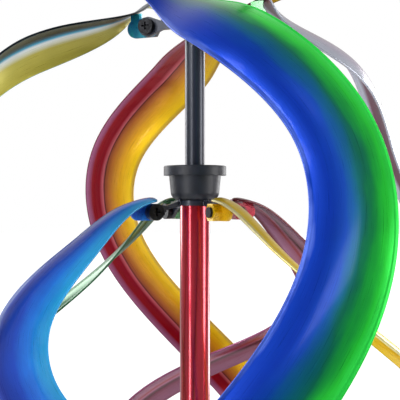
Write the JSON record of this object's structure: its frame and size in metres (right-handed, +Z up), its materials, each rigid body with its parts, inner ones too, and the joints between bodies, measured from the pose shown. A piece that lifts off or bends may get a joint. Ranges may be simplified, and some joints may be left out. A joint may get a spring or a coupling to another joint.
{
  "type": "wind spinner",
  "caption": "Garden wind spinner with two nested cages of painted ribbon blades that turn opposite ways round a staked steel shaft",
  "frame": {"origin": "on the pole's axis at ground level, at the underside of the fork's step bar, where the centre spike leaves it", "axes": "+Z up along the shaft; +X along the fork's step bar; +Y towards the back of the usual front view"},
  "size_m": [0.4928, 0.4928, 1.9095],
  "materials": {
    "charcoal_steel": "satin charcoal powder coat",
    "red_candy_steel": "gloss candy red over metallic base",
    "black_plastic": "moulded matte black",
    "bronze_bush": "plain oiled bronze",
    "zinc_steel": "zinc plated",
    "black_oxide_steel": "black oxide",
    "outer_red_orange_paint": "gloss two-tone metallic enamel on sheet steel",
    "outer_teal_olive_paint": "gloss two-tone metallic enamel on sheet steel",
    "outer_blue_green_paint": "gloss two-tone metallic enamel on sheet steel",
    "outer_mauve_silver_paint": "gloss two-tone metallic enamel on sheet steel",
    "inner_red_paint": "gloss two-tone metallic enamel on sheet steel",
    "inner_green_paint": "gloss two-tone metallic enamel on sheet steel",
    "inner_blue_paint": "gloss two-tone metallic enamel on sheet steel",
    "inner_yellow_paint": "gloss two-tone metallic enamel on sheet steel"
  },
  "bodies": {
    "stand": {"ground_fork": "charcoal_steel", "lower_pole": "charcoal_steel", "pole_reducer": "black_plastic", "pole_screws": "zinc_steel", "pole_nuts": "zinc_steel", "main_shaft": "charcoal_steel", "inner_stop_collar": "charcoal_steel", "outer_stop_collar": "charcoal_steel", "collar_set_screws": "zinc_steel", "top_cap": "charcoal_steel"},
    "outer_rotor": {"outer_upper_hub": "charcoal_steel", "outer_lower_hub": "charcoal_steel", "outer_upper_bush": "bronze_bush", "outer_lower_bush": "bronze_bush", "outer_upper_screws": "black_oxide_steel", "outer_upper_nuts": "black_oxide_steel", "outer_lower_screws": "black_oxide_steel", "outer_lower_nuts": "black_oxide_steel", "outer_blade_red_orange": "outer_red_orange_paint", "outer_lugs_red_orange": "outer_red_orange_paint", "outer_blade_teal_olive": "outer_teal_olive_paint", "outer_lugs_teal_olive": "outer_teal_olive_paint", "outer_blade_blue_green": "outer_blue_green_paint", "outer_lugs_blue_green": "outer_blue_green_paint", "outer_blade_mauve_silver": "outer_mauve_silver_paint", "outer_lugs_mauve_silver": "outer_mauve_silver_paint"},
    "inner_rotor": {"inner_upper_hub": "charcoal_steel", "inner_lower_hub": "charcoal_steel", "red_sleeve": "red_candy_steel", "bearing_cup": "black_plastic", "cup_shield": "black_plastic", "inner_lower_bush": "bronze_bush", "inner_upper_screws": "black_oxide_steel", "inner_upper_nuts": "black_oxide_steel", "inner_lower_screws": "black_oxide_steel", "inner_lower_nuts": "black_oxide_steel", "inner_blade_red": "inner_red_paint", "inner_lugs_red": "inner_red_paint", "inner_blade_green": "inner_green_paint", "inner_lugs_green": "inner_green_paint", "inner_blade_blue": "inner_blue_paint", "inner_lugs_blue": "inner_blue_paint", "inner_blade_yellow": "inner_yellow_paint", "inner_lugs_yellow": "inner_yellow_paint"}
  },
  "joints": [
    {"name": "outer_spin", "type": "hinge", "parent": "stand", "child": "outer_rotor", "pos_m": [0, 0, 1.31], "axis": [0, 0, 1], "continuous": true},
    {"name": "inner_spin", "type": "hinge", "parent": "stand", "child": "inner_rotor", "pos_m": [0, 0, 1.31], "axis": [0, 0, 1], "continuous": true}
  ]
}
